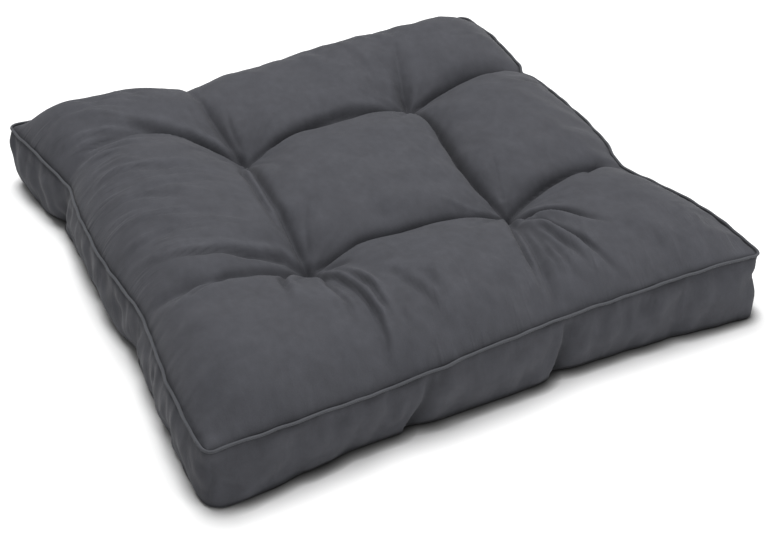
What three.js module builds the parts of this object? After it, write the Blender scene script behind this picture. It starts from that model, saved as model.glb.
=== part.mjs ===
// A square lounge cushion: a tufted top of three by three puffs, a boxed side and one piped seam.
// Sizes are millimetres, +Z is up. The origin is on the surface that the cushion lies on, under the
// middle of its outline. The front side faces -Y and the left side faces -X.

import * as THREE from 'three';

// Driving sizes of the cushion
const SIDE = 600;
const HALF = SIDE / 2;
const CORNER_RADIUS = 10;
const FOOT_HEIGHT = 3.5;
const FOOT_CORNER_RADII = { front_left: 26, front_right: 12, back_right: 14, back_left: 12 };

// Piping: a round welt in the top seam, and how the covers tuck in beside it
const PIPING_RADIUS = 1.9;
const PIPING_SIDES = 8;
const TOP_TUCK = { inward: 2.8, up: 1.3 };
const GROOVE_TUCK = { inward: 2.8, up: -0.9 };
const BOXING_TUCK = { inward: 1.1, up: -2.7 };

// Tuft stitches: short bars of thread, each on a small flat spot
const STITCH_LENGTH = 7;
const STITCH_RADIUS = 1.1;
const STITCH_SPOT = 6;
const STITCH_GAP = 0.35;

// Mesh fineness: steps along one side of the square
const STEPS = 56;

// The outline, one row for each place along a side, measured from the middle of that side:
// how far the top seam lies inside the square, how high it is, and how far the bottom seam lies inside
const OUTLINE = {
  front: [
    { at: -300, inset: -2, seam: 70, foot: -8 },
    { at: -225, inset: -1, seam: 70, foot: -2 },
    { at: -150, inset: 2, seam: 68, foot: 8 },
    { at: -118, inset: 5, seam: 66, foot: 8 },
    { at: -85, inset: 3, seam: 70, foot: 7 },
    { at: -20, inset: 4, seam: 75, foot: 7 },
    { at: 40, inset: 8, seam: 75, foot: 7 },
    { at: 75, inset: 12, seam: 73, foot: 11 },
    { at: 110, inset: 11, seam: 74, foot: 12 },
    { at: 190, inset: 8, seam: 77, foot: 7 },
    { at: 250, inset: 6, seam: 78, foot: 0 },
    { at: 300, inset: 2, seam: 76, foot: -5 },
  ],
  right: [
    { at: -300, inset: -6, seam: 76, foot: -7 },
    { at: -240, inset: -9, seam: 75, foot: -3 },
    { at: -195, inset: -4, seam: 76, foot: 3 },
    { at: -150, inset: 8, seam: 76, foot: 13 },
    { at: -100, inset: 20, seam: 73, foot: 18 },
    { at: -75, inset: 18, seam: 74, foot: 16 },
    { at: -45, inset: 11, seam: 76, foot: 11 },
    { at: 0, inset: 6, seam: 77, foot: 9 },
    { at: 60, inset: 4, seam: 77, foot: 10 },
    { at: 115, inset: 3, seam: 75, foot: 16 },
    { at: 137, inset: 8, seam: 73, foot: 18 },
    { at: 156, inset: 1, seam: 74, foot: 14 },
    { at: 200, inset: -3, seam: 76, foot: 10 },
    { at: 250, inset: -6, seam: 76, foot: 6 },
    { at: 300, inset: -3, seam: 74, foot: 3 },
  ],
  back: [
    { at: -300, inset: -5, seam: 74, foot: -2 },
    { at: -180, inset: 0, seam: 76, foot: 4 },
    { at: -98, inset: 14, seam: 70, foot: 17 },
    { at: -40, inset: 5, seam: 75, foot: 9 },
    { at: 80, inset: 2, seam: 77, foot: 8 },
    { at: 190, inset: 6, seam: 74, foot: 14 },
    { at: 240, inset: 2, seam: 75, foot: 9 },
    { at: 300, inset: -3, seam: 74, foot: 3 },
  ],
  left: [
    { at: -300, inset: -2, seam: 70, foot: -7 },
    { at: -240, inset: -2, seam: 74, foot: -5 },
    { at: -170, inset: 4, seam: 78, foot: 0 },
    { at: -107, inset: 12, seam: 77, foot: 6 },
    { at: -60, inset: 11, seam: 75, foot: 10 },
    { at: 0, inset: 8, seam: 74, foot: 8 },
    { at: 60, inset: 10, seam: 74, foot: 9 },
    { at: 115, inset: 15, seam: 72, foot: 13 },
    { at: 150, inset: 20, seam: 70, foot: 13 },
    { at: 180, inset: 16, seam: 70, foot: 12 },
    { at: 225, inset: 7, seam: 74, foot: 4 },
    { at: 300, inset: -5, seam: 74, foot: -3 },
  ],
};

// Crown of the nine puffs above the seam, rows from the front, each from left to right
const PUFF_CROWNS = [
  [42, 40, 29],
  [46, 37, 37],
  [43, 28, 43],
];
const PUFF_ROW_SHARE = 1 / 6;

// How the top panel rises from the seam: over this distance on each side, and how roundly
const RISE_REACH = { front: 85, right: 120, back: 85, left: 75 };
const RISE_POWER = 2.8;

// The four tufts, which pull the cover down in a wide dimple
const TUFTS = [
  { name: 'front_left', x: -114, y: -111, turn: 0.5 },
  { name: 'front_right', x: 113, y: -119, turn: 0.2 },
  { name: 'back_left', x: -88, y: 114, turn: -0.3 },
  { name: 'back_right', x: 125, y: 124, turn: 0.4 },
];
const DIMPLE = { depth: 10, reach: 60, power: 2 };

// Where the valleys meet the seam
const PINCHES = {
  front_west: { x: -116, y: -300 },
  front_east: { x: 66, y: -300 },
  right_south: { x: 300, y: -95 },
  right_north: { x: 300, y: 140 },
  back_west: { x: -98, y: 300 },
  back_east: { x: 190, y: 300 },
  left_south: { x: -300, y: -107 },
  left_north: { x: -300, y: 150 },
};

// Valleys between the puffs, one row each: from one place to another, the bow to the left of that way
// and its lean towards the start, the depth at the start, middle and end, and the reach on each hand
const VALLEY_COLUMNS = ['from', 'to', 'bow', 'lean', 'start', 'middle', 'end', 'left', 'right'];
const VALLEYS = [
  ['front_left', 'front_right', 0, 0, 32, 34, 38, 95, 105],
  ['back_left', 'back_right', 4, 0, 32, 38, 40, 95, 110],
  ['front_left', 'back_left', 8, 0, 32, 22, 32, 95, 95],
  ['front_right', 'back_right', 7, 2.2, 34, 42, 34, 72, 95],
  ['front_left', 'left_south', 18, 0, 32, 27, 30, 80, 80],
  ['front_left', 'front_west', 6, 0, 34, 22, 22, 80, 80],
  ['front_right', 'front_east', 6, 0, 36, 24, 22, 80, 100],
  ['front_right', 'right_south', 8, 0, 34, 31, 28, 80, 80],
  ['back_right', 'right_north', -2, 0, 36, 41, 32, 80, 80],
  ['back_right', 'back_east', 6, 0, 36, 8, 0, 80, 80],
  ['back_left', 'back_west', 6, 0, 34, 20, 0, 80, 80],
  ['back_left', 'left_north', -42, 0, 32, 24, 26, 80, 80],
].map((row) => Object.fromEntries(VALLEY_COLUMNS.map((column, k) => [column, row[k]])));
const VALLEY_FULL = 46;
const VALLEY_POWER = 2.3;
const VALLEY_STEPS = 16;
const CLEFT = { share: 0.2, reach: 28, power: 2 };

// Main creases of the top panel, as soft troughs along short routes
const CREASES = [
  { name: 'front left tuft to the front seam', depth: 6, width: 9,
    route: [[-112, -124], [-108, -163], [-106, -190], [-103, -219], [-103, -240], [-108, -268]] },
  { name: 'second fold beside it', depth: 4, width: 9,
    route: [[-97, -150], [-95, -180], [-93, -208], [-93, -237], [-92, -262]] },
  { name: 'front left tuft to the left puff', depth: 6, width: 9,
    route: [[-118, -114], [-139, -108], [-165, -106], [-196, -97], [-226, -84], [-256, -63]] },
  { name: 'hook at the front left tuft', depth: 5, width: 7,
    route: [[-116, -122], [-131, -143], [-146, -152], [-156, -166]] },
  { name: 'between the left and centre puffs', depth: 4, width: 8,
    route: [[-104, 62], [-105, 30], [-108, -20], [-112, -62], [-113, -95]] },
  { name: 'front right tuft over the corner puff', depth: 7, width: 9,
    route: [[121, -124], [128, -150], [140, -174], [155, -196], [170, -214]] },
  { name: 'front right tuft towards the front seam', depth: 6, width: 9,
    route: [[117, -126], [114, -152], [117, -178], [124, -206], [132, -236], [142, -262], [152, -282]] },
  { name: 'straight down from the front right tuft', depth: 3, width: 7,
    route: [[108, -140], [90, -168], [82, -195], [74, -226], [62, -256], [54, -280]] },
];

// Boxing: it bulges between its seams, but not near its corners, and folds inward at the pinches
const BOXING_ROWS = [0.12, 0.34, 0.62, 0.86];
const BOXING_BULGE = 5;
const BOXING_CORNER = 70;
const BOXING_FOLDS = [
  { side: 'front', at: -104, depth: 6, width: 12 },
  { side: 'front', at: 70, depth: 7, width: 11 },
  { side: 'right', at: -97, depth: 6, width: 14 },
  { side: 'right', at: 138, depth: 6, width: 12 },
  { side: 'back', at: -98, depth: 6, width: 13 },
  { side: 'back', at: 192, depth: 5, width: 14 },
  { side: 'left', at: -118, depth: 4, width: 16 },
  { side: 'left', at: 152, depth: 7, width: 12 },
];
const BOXING_RIPPLE = { depth: 1.4, length: 41, second: 0.6, secondLength: 23 };

// Underside: the bottom panel rolls under its seam and is flat where it lies, but for the tuft dimples
const ROLL_ROWS = [
  { inward: 1.5, up: 1 },
  { inward: 5, up: 0 },
];
const UNDER_DIMPLE = { radius: 46, depth: 15, sides: 16, rows: 4 };

// Finish
const CLOTH = { color: 0x585a60, roughness: 0.92, metalness: 0 };
const PIPING_CLOTH = { color: 0x5c5e64, roughness: 0.9, metalness: 0 };
const THREAD = { color: 0x6b6d73, roughness: 0.75, metalness: 0 };

// A smooth curve through one column of a table whose rows are sorted by `at`
function sample(rows, at, column) {
  const last = rows.length - 1;
  let i = 0;
  while (i < last - 1 && at > rows[i + 1].at) i += 1;
  const span = rows[i + 1].at - rows[i].at;
  const f = THREE.MathUtils.clamp((at - rows[i].at) / span, 0, 1);
  const slope = (k) => {
    const before = rows[Math.max(k - 1, 0)];
    const after = rows[Math.min(k + 1, last)];
    return (after[column] - before[column]) / (after.at - before.at);
  };
  const f2 = f * f;
  const f3 = f2 * f;
  return (2 * f3 - 3 * f2 + 1) * rows[i][column]
    + (f3 - 2 * f2 + f) * slope(i) * span
    + (3 * f2 - 2 * f3) * rows[i + 1][column]
    + (f3 - f2) * slope(i + 1) * span;
}

// Pulls the corners of the square (s, t) in to a radius, keeping the rest as it is
function roundCorners(s, t, radius) {
  const p = Math.min(s, 1 - s) * SIDE;
  const q = Math.min(t, 1 - t) * SIDE;
  if (p >= radius || q >= radius) return [s, t];
  const u = 1 - p / radius;
  const v = 1 - q / radius;
  const inS = radius * (1 - u * Math.sqrt(1 - v * v / 2)) / SIDE;
  const inT = radius * (1 - v * Math.sqrt(1 - u * u / 2)) / SIDE;
  return [s > 0.5 ? 1 - inS : inS, t > 0.5 ? 1 - inT : inT];
}

// A place over the square (s, t), where `column` says which seam's inset bounds it
function plan(s, t, column) {
  const along = (s - 0.5) * SIDE;
  const across = (t - 0.5) * SIDE;
  const west = -HALF + sample(OUTLINE.left, across, column);
  const east = HALF - sample(OUTLINE.right, across, column);
  const south = -HALF + sample(OUTLINE.front, along, column);
  const north = HALF - sample(OUTLINE.back, along, column);
  return { x: west + (east - west) * s, y: south + (north - south) * t };
}

// The height of the top seam, carried smoothly across the inside
function seamHeight(s, t) {
  const along = (s - 0.5) * SIDE;
  const across = (t - 0.5) * SIDE;
  const corner = (table, end) => table[end ? table.length - 1 : 0].seam;
  return sample(OUTLINE.front, along, 'seam') * (1 - t)
    + sample(OUTLINE.back, along, 'seam') * t
    + sample(OUTLINE.left, across, 'seam') * (1 - s)
    + sample(OUTLINE.right, across, 'seam') * s
    - corner(OUTLINE.front, false) * (1 - s) * (1 - t)
    - corner(OUTLINE.front, true) * s * (1 - t)
    - corner(OUTLINE.back, false) * (1 - s) * t
    - corner(OUTLINE.back, true) * s * t;
}

// The crown between the middles of the nine puffs
function crownHeight(s, t) {
  const place = (share) => {
    const row = THREE.MathUtils.clamp((share - PUFF_ROW_SHARE) / (1 - 2 * PUFF_ROW_SHARE), 0, 1) * 2;
    const i = Math.min(Math.floor(row), 1);
    return { i, f: THREE.MathUtils.smoothstep(row - i, 0, 1) };
  };
  const a = place(s);
  const b = place(t);
  const front = THREE.MathUtils.lerp(PUFF_CROWNS[b.i][a.i], PUFF_CROWNS[b.i][a.i + 1], a.f);
  const back = THREE.MathUtils.lerp(PUFF_CROWNS[b.i + 1][a.i], PUFF_CROWNS[b.i + 1][a.i + 1], a.f);
  return THREE.MathUtils.lerp(front, back, b.f);
}

// The nearest place on a route: how far away it is, on which hand, and its share of the way
function nearest(route, x, y) {
  const found = { away: Infinity, left: true, share: 0 };
  for (let k = 0; k < route.length - 1; k += 1) {
    const [ax, ay] = route[k];
    const dx = route[k + 1][0] - ax;
    const dy = route[k + 1][1] - ay;
    const f = THREE.MathUtils.clamp(((x - ax) * dx + (y - ay) * dy) / (dx * dx + dy * dy), 0, 1);
    const away = Math.hypot(x - ax - f * dx, y - ay - f * dy);
    if (away < found.away) {
      found.away = away;
      found.left = dx * (y - ay) - dy * (x - ax) > 0;
      found.share = (k + f) / (route.length - 1);
    }
  }
  return found;
}

function valleyRoute(valley) {
  const place = (name) => TUFTS.find((tuft) => tuft.name === name) ?? PINCHES[name];
  const a = place(valley.from);
  const b = place(valley.to);
  const length = Math.hypot(b.x - a.x, b.y - a.y);
  const points = [];
  for (let k = 0; k < VALLEY_STEPS; k += 1) {
    const f = k / (VALLEY_STEPS - 1);
    const bow = 4 * f * (1 - f) * (1 + valley.lean * (1 - 2 * f)) * valley.bow / length;
    points.push([
      a.x + (b.x - a.x) * f - (b.y - a.y) * bow,
      a.y + (b.y - a.y) * f + (b.x - a.x) * bow,
    ]);
  }
  return points;
}

const VALLEY_ROUTES = VALLEYS.map(valleyRoute);

// What is left of the crown at a place: each valley that passes takes its own share of it
function puffShare(x, y) {
  let left = 1;
  VALLEYS.forEach((valley, k) => {
    const place = nearest(VALLEY_ROUTES[k], x, y);
    const reach = place.left ? valley.left : valley.right;
    if (place.away >= reach) return;
    const { share } = place;
    const depth = valley.start * (1 - share) * (1 - 2 * share)
      + valley.middle * 4 * share * (1 - share)
      + valley.end * share * (2 * share - 1);
    const wide = (1 - place.away / reach) ** VALLEY_POWER;
    const narrow = Math.max(1 - place.away / CLEFT.reach, 0) ** CLEFT.power;
    const taken = (depth / VALLEY_FULL) * ((1 - CLEFT.share) * wide + CLEFT.share * narrow);
    left *= 1 - THREE.MathUtils.clamp(taken, 0, 1);
  });
  return left;
}

function dimpleDepth(x, y) {
  let sum = 0;
  for (const tuft of TUFTS) {
    const away = Math.hypot(x - tuft.x, y - tuft.y);
    if (away < DIMPLE.reach) sum += DIMPLE.depth * (1 - away / DIMPLE.reach) ** DIMPLE.power;
  }
  return sum;
}

// Creases are deepest a third of the way along and fade to nothing at their far end
function creaseDepth(x, y) {
  let sum = 0;
  for (const crease of CREASES) {
    const { away, share } = nearest(crease.route, x, y);
    const fade = Math.min(1, 0.5 + 1.5 * share) * Math.min(1, 1.5 * (1 - share));
    sum += crease.depth * fade * Math.exp(-((away / crease.width) ** 2));
  }
  return sum;
}

// How far the panel has risen at a share of the way between two opposite sides
function rise(share, lowReach, highReach) {
  const low = Math.min(share * SIDE / lowReach, 1);
  const high = Math.min((1 - share) * SIDE / highReach, 1);
  return (1 - (1 - low) ** RISE_POWER) * (1 - (1 - high) ** RISE_POWER);
}

// A point of the top panel over the square (s, t)
function topPoint(s, t) {
  const [rs, rt] = roundCorners(s, t, CORNER_RADIUS);
  const { x, y } = plan(rs, rt, 'inset');
  const risen = rise(rs, RISE_REACH.left, RISE_REACH.right) * rise(rt, RISE_REACH.front, RISE_REACH.back);
  const crown = crownHeight(rs, rt) * puffShare(x, y) - dimpleDepth(x, y) - creaseDepth(x, y);
  return new THREE.Vector3(x, y, seamHeight(rs, rt) + risen * crown);
}

// Steps along a side are finer towards its corners
function spacing(k) {
  const f = k / STEPS;
  return 0.45 * f + 0.55 * (0.5 - 0.5 * Math.cos(Math.PI * f));
}

// The places round the square, anticlockwise from the front left corner, as steps (i, j) of the grid
function perimeter() {
  const places = [];
  for (let k = 0; k < STEPS; k += 1) places.push([k, 0]);
  for (let k = 0; k < STEPS; k += 1) places.push([STEPS, k]);
  for (let k = STEPS; k > 0; k -= 1) places.push([k, STEPS]);
  for (let k = STEPS; k > 0; k -= 1) places.push([0, k]);
  return places;
}

// The outward direction at each point of a closed ring, level with the ground
function outwardOf(ring) {
  return ring.map((_, k) => {
    const before = ring[(k + ring.length - 1) % ring.length];
    const after = ring[(k + 1) % ring.length];
    return new THREE.Vector3(after.y - before.y, before.x - after.x, 0).normalize();
  });
}

function seamRing(places) {
  return places.map(([i, j]) => {
    const [s, t] = roundCorners(spacing(i), spacing(j), CORNER_RADIUS);
    const { x, y } = plan(s, t, 'inset');
    return new THREE.Vector3(x, y, seamHeight(s, t));
  });
}

// The line just above the bottom seam, where every corner has a radius of its own
function footRing(places) {
  return places.map(([i, j]) => {
    const front = 2 * j < STEPS ? 'front' : 'back';
    const side = 2 * i < STEPS ? 'left' : 'right';
    const [s, t] = roundCorners(spacing(i), spacing(j), FOOT_CORNER_RADII[`${front}_${side}`]);
    const { x, y } = plan(s, t, 'foot');
    return new THREE.Vector3(x, y, FOOT_HEIGHT);
  });
}

function offsetRing(ring, outward, tuck) {
  return ring.map((point, k) => {
    const moved = point.clone().addScaledVector(outward[k], -tuck.inward);
    return moved.setZ(point.z + tuck.up);
  });
}

// How far the boxing folds inward at a place on the outline, wider and deeper towards its foot
function boxingFold(point, outward, level) {
  const side = Math.abs(outward.x) > Math.abs(outward.y)
    ? (outward.x > 0 ? 'right' : 'left')
    : (outward.y > 0 ? 'back' : 'front');
  const at = side === 'front' || side === 'back' ? point.x : point.y;
  let depth = 0;
  for (const fold of BOXING_FOLDS) {
    if (fold.side === side) depth += fold.depth * Math.exp(-(((at - fold.at) / fold.width) ** 2));
  }
  const ripple = Math.sin(2 * Math.PI * at / BOXING_RIPPLE.length + level)
    + BOXING_RIPPLE.second * Math.sin(2 * Math.PI * at / BOXING_RIPPLE.secondLength - 2 * level);
  return (0.45 + 0.55 * level) * depth + BOXING_RIPPLE.depth * Math.sin(Math.PI * level) * ripple;
}

// How far the boxing bulges outward at a place on the outline, fading to nothing at the corners
function boxingBulge(point, level) {
  const fromCorner = HALF - Math.min(Math.abs(point.x), Math.abs(point.y));
  const share = THREE.MathUtils.clamp(fromCorner / BOXING_CORNER, 0, 1);
  return BOXING_BULGE * share * Math.sin(Math.PI * level) ** 0.7;
}

function boxingRings(seam, outward, foot) {
  return BOXING_ROWS.map((level) => seam.map((point, k) => {
    const high = point.clone().setZ(point.z + BOXING_TUCK.up);
    const out = boxingBulge(point, level) - boxingFold(point, outward[k], level);
    return high.lerp(foot[k], level).addScaledVector(outward[k], out);
  }));
}

// Collects points and triangles of one closed surface
class Surface {
  constructor() {
    this.points = [];
    this.triangles = [];
  }

  addPoint(point) {
    this.points.push(point);
    return this.points.length - 1;
  }

  addRing(ring) {
    return ring.map((point) => this.addPoint(point));
  }

  // A square patch with corners a, b, c, d anticlockwise from outside, cut along its shorter diagonal
  addPatch(a, b, c, d) {
    const p = this.points;
    if (p[a].distanceToSquared(p[c]) <= p[b].distanceToSquared(p[d])) {
      this.triangles.push([a, b, c], [a, c, d]);
    } else {
      this.triangles.push([a, b, d], [b, c, d]);
    }
  }

  // A closed strip between two rings, the first one above or inside when seen from outside
  joinRings(upper, lower) {
    upper.forEach((_, k) => {
      const next = (k + 1) % upper.length;
      this.addPatch(upper[k], lower[k], lower[next], upper[next]);
    });
  }

  geometry() {
    const shape = new THREE.BufferGeometry();
    const numbers = this.points.flatMap((p) => [p.x, p.y, p.z]);
    shape.setAttribute('position', new THREE.Float32BufferAttribute(numbers, 3));
    shape.setIndex(this.triangles.flat());
    shape.computeVertexNormals();
    return shape;
  }
}

// The top panel as a grid whose rim is the given ring; it returns the rim's points in the ring's order
function addTopPanel(surface, places, rim) {
  const rimPoints = new Map(places.map(([i, j], k) => [`${i},${j}`, rim[k]]));
  const grid = [];
  for (let j = 0; j <= STEPS; j += 1) {
    grid.push([]);
    for (let i = 0; i <= STEPS; i += 1) {
      grid[j].push(rimPoints.get(`${i},${j}`) ?? topPoint(spacing(i), spacing(j)));
    }
  }
  const floors = TUFTS.map((tuft) => flattenForStitch(grid, tuft));
  const index = grid.map((row) => row.map((point) => surface.addPoint(point)));
  for (let j = 0; j < STEPS; j += 1) {
    for (let i = 0; i < STEPS; i += 1) {
      surface.addPatch(index[j][i], index[j][i + 1], index[j + 1][i + 1], index[j + 1][i]);
    }
  }
  return { rim: places.map(([i, j]) => index[j][i]), floors };
}

// Moves the grid's patch nearest to a tuft on to a small level spot, and returns the spot's height
function flattenForStitch(grid, tuft) {
  let best = { away: Infinity, i: 0, j: 0 };
  for (let j = 1; j < STEPS - 1; j += 1) {
    for (let i = 1; i < STEPS - 1; i += 1) {
      const middle = grid[j][i].clone().lerp(grid[j + 1][i + 1], 0.5);
      const away = Math.hypot(middle.x - tuft.x, middle.y - tuft.y);
      if (away < best.away) best = { away, i, j };
    }
  }
  const { i, j } = best;
  const corners = [grid[j][i], grid[j][i + 1], grid[j + 1][i + 1], grid[j + 1][i]];
  const floor = Math.min(...corners.map((corner) => corner.z));
  const reach = STITCH_SPOT;
  corners[0].set(tuft.x - reach, tuft.y - reach, floor);
  corners[1].set(tuft.x + reach, tuft.y - reach, floor);
  corners[2].set(tuft.x + reach, tuft.y + reach, floor);
  corners[3].set(tuft.x - reach, tuft.y + reach, floor);
  return floor;
}

// The flat underside inside a ring, with a round dimple where each tuft pulls it up
function addUnderside(surface, ring) {
  const flat = (k) => new THREE.Vector2(surface.points[k].x, surface.points[k].y);
  const rings = TUFTS.map((tuft) => {
    const rows = [];
    for (let row = 0; row < UNDER_DIMPLE.rows; row += 1) {
      const f = row / UNDER_DIMPLE.rows;
      const radius = UNDER_DIMPLE.radius * (1 - f) + STITCH_SPOT * f;
      const height = UNDER_DIMPLE.depth * f ** 1.6;
      rows.push(circle(tuft, radius, height, UNDER_DIMPLE.sides));
    }
    rows.push(circle(tuft, STITCH_SPOT, UNDER_DIMPLE.depth, UNDER_DIMPLE.sides));
    return rows.map((row) => surface.addRing(row));
  });
  const holes = rings.map((rows) => rows[0].map(flat));
  const index = [...ring, ...rings.flatMap((rows) => rows[0])];
  for (const [a, b, c] of THREE.ShapeUtils.triangulateShape(ring.map(flat), holes)) {
    surface.triangles.push([index[a], index[c], index[b]]);
  }
  for (const [t, rows] of rings.entries()) {
    for (let row = 0; row < UNDER_DIMPLE.rows; row += 1) surface.joinRings(rows[row], rows[row + 1]);
    const centre = surface.addPoint(new THREE.Vector3(TUFTS[t].x, TUFTS[t].y, UNDER_DIMPLE.depth));
    const inner = rows[UNDER_DIMPLE.rows];
    inner.forEach((k, n) => surface.triangles.push([centre, inner[(n + 1) % inner.length], k]));
  }
}

function circle(centre, radius, height, sides) {
  return Array.from({ length: sides }, (_, k) => {
    const turn = 2 * Math.PI * k / sides;
    return new THREE.Vector3(centre.x + radius * Math.cos(turn), centre.y + radius * Math.sin(turn), height);
  });
}

// The filled cushion: top panel, boxing and bottom panel sewn round the filling, as one solid
function cushion(places, seam, outward) {
  const surface = new Surface();
  const foot = footRing(places);
  const footOutward = outwardOf(foot);
  const footSeam = foot.map((point, k) => {
    const fold = boxingFold(point, footOutward[k], 1);
    return point.clone().addScaledVector(footOutward[k], -fold);
  });
  const { rim, floors } = addTopPanel(surface, places, offsetRing(seam, outward, TOP_TUCK));
  const rings = [
    offsetRing(seam, outward, GROOVE_TUCK),
    offsetRing(seam, outward, BOXING_TUCK),
    ...boxingRings(seam, outward, foot),
    footSeam,
    ...ROLL_ROWS.map((row) => offsetRing(footSeam, footOutward, row).map((point) => point.setZ(row.up))),
  ];
  let upper = rim;
  for (const ring of rings) {
    const lower = surface.addRing(ring);
    surface.joinRings(upper, lower);
    upper = lower;
  }
  addUnderside(surface, upper);
  return { geometry: surface.geometry(), floors };
}

// The piping: a round cord along the top seam, closed into a loop
function piping(seam, outward) {
  const surface = new Surface();
  const up = new THREE.Vector3(0, 0, 1);
  const rings = [];
  for (let k = 0; k < PIPING_SIDES; k += 1) {
    const turn = 2 * Math.PI * (k + 0.5) / PIPING_SIDES;
    rings.push(surface.addRing(seam.map((point, n) => point.clone()
      .addScaledVector(outward[n], PIPING_RADIUS * Math.cos(turn))
      .addScaledVector(up, PIPING_RADIUS * Math.sin(turn)))));
  }
  rings.forEach((ring, k) => surface.joinRings(rings[(k + 1) % PIPING_SIDES], ring));
  return surface.geometry();
}

// A tuft stitch: a bar of thread with round ends, lying along X
function stitch() {
  const bar = new THREE.CapsuleGeometry(STITCH_RADIUS, STITCH_LENGTH - 2 * STITCH_RADIUS, 3, 8, 1);
  return bar.rotateZ(Math.PI / 2);
}

function mesh(name, geometry, finish) {
  const piece = new THREE.Mesh(geometry, new THREE.MeshStandardMaterial(finish));
  piece.name = name;
  return piece;
}

function buildCushion() {
  const places = perimeter();
  const seam = seamRing(places);
  const outward = outwardOf(seam);
  const body = cushion(places, seam, outward);
  const group = new THREE.Group();
  group.add(mesh('cushion', body.geometry, CLOTH));
  group.add(mesh('piping', piping(seam, outward), PIPING_CLOTH));
  TUFTS.forEach((tuft, k) => {
    const lift = STITCH_RADIUS + STITCH_GAP;
    const ends = { top: body.floors[k] + lift, under: UNDER_DIMPLE.depth - lift };
    for (const [end, height] of Object.entries(ends)) {
      const bar = mesh(`tuft_stitch_${tuft.name}_${end}`, stitch(), THREAD);
      bar.position.set(tuft.x, tuft.y, height);
      bar.rotation.z = tuft.turn;
      group.add(bar);
    }
  });
  return group;
}

// The outline's middle is put over the origin
function centred(group) {
  const middle = new THREE.Box3().setFromObject(group).getCenter(new THREE.Vector3());
  group.position.set(-middle.x, -middle.y, 0);
  return group;
}

const group = centred(buildCushion());

export default group;
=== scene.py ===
# A square tufted lounge cushion in dark grey brushed cloth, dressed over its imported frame.
# Sizes are millimetres until a mesh is made, and +Z is up. The front side faces -Y.

import math

import bpy
import numpy as np
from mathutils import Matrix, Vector


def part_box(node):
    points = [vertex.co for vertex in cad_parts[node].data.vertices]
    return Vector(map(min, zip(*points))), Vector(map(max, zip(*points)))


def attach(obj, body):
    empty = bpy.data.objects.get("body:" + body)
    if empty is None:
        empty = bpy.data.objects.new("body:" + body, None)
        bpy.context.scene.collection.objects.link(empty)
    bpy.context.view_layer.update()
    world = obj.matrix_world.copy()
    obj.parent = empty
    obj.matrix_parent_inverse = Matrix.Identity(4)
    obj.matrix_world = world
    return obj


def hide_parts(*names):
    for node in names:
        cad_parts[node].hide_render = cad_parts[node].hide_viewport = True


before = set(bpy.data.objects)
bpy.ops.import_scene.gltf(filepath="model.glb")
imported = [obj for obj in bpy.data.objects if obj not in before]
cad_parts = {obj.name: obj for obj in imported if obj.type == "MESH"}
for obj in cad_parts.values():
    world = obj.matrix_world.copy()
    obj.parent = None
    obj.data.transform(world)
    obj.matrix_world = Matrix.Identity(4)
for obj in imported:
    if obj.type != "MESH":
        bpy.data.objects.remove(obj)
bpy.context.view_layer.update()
BODY = "root"
MM = 0.001
UP = np.array([0, 0, 1.0])

# Driving sizes: the side, the corner radii of the top seam and of the foot seam (rows from the front,
# each from left to right), how high the foot seam lies, and how far the cloth rolls in under it
SIDE = 600.0
HALF = SIDE / 2
CORNER_RADIUS = 10.0
FOOT_CORNER_RADII = [[26.0, 12.0], [12.0, 14.0]]
FOOT_HEIGHT = 3.5
FOOT_ROLL = 5.0

# Seeds of all that is strewn, so that each run gives the same cushion
SEEDS = {
    "top_strokes": 11, "tuft_strokes": 12, "top_lumps": 13, "top_puckers": 14, "boxing_puckers": 15,
    "boxing_strokes": 21, "boxing_lumps": 22, "under_strokes": 31,
    "piping_sideways": 41, "piping_upright": 42, "piping_thickness": 43,
}

# The outline, one row for each place along a side, measured from the middle of that side:
# how far the top seam lies inside the square, how high it is, and how far the bottom seam lies inside
OUTLINE_COLUMNS = ("at", "inset", "seam", "foot")
OUTLINE = {
    "front": [
        (-300, -2, 70, -8), (-225, -1, 70, -2), (-150, 2, 68, 8), (-118, 5, 66, 8),
        (-85, 3, 70, 7), (-20, 4, 75, 7), (40, 8, 75, 7), (75, 12, 73, 11),
        (110, 11, 74, 12), (190, 8, 77, 7), (250, 6, 78, 0), (300, 2, 76, -5),
    ],
    "right": [
        (-300, -6, 76, -7), (-240, -9, 75, -3), (-195, -4, 76, 3), (-150, 8, 76, 13),
        (-100, 20, 73, 18), (-75, 18, 74, 16), (-45, 11, 76, 11), (0, 6, 77, 9),
        (60, 4, 77, 10), (115, 3, 75, 16), (137, 8, 73, 18), (156, 1, 74, 14),
        (200, -3, 76, 10), (250, -6, 76, 6), (300, -3, 74, 3),
    ],
    "back": [
        (-300, -5, 74, -2), (-180, 0, 76, 4), (-98, 14, 70, 17), (-40, 5, 75, 9),
        (80, 2, 77, 8), (190, 6, 74, 14), (240, 2, 75, 9), (300, -3, 74, 3),
    ],
    "left": [
        (-300, -2, 70, -7), (-240, -2, 74, -5), (-170, 4, 78, 0), (-107, 12, 77, 6),
        (-60, 11, 75, 10), (0, 8, 74, 8), (60, 10, 74, 9), (115, 15, 72, 13),
        (150, 20, 70, 13), (180, 16, 70, 12), (225, 7, 74, 4), (300, -5, 74, -3),
    ],
}

# Crown of the nine puffs above the seam, rows from the front, each from left to right, and how far
# from each side the panel has risen in full
PUFF_CROWNS = [[42, 40, 29], [46, 36, 37], [43, 28, 43]]
PUFF_ROW_SHARE = 1 / 6
RISE_REACH = {"front": 85.0, "right": 120.0, "back": 85.0, "left": 75.0}
RISE_POWER = 2.8

# The four tufts, the turn of each one's stitch, and the dimple round it
TUFTS = {
    "front_left": (-114, -111, 0.5),
    "front_right": (113, -119, 0.2),
    "back_left": (-88, 114, -0.3),
    "back_right": (125, 124, 0.4),
}
DIMPLE_DEPTH = 4.5
DIMPLE_REACH = 60.0

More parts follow.
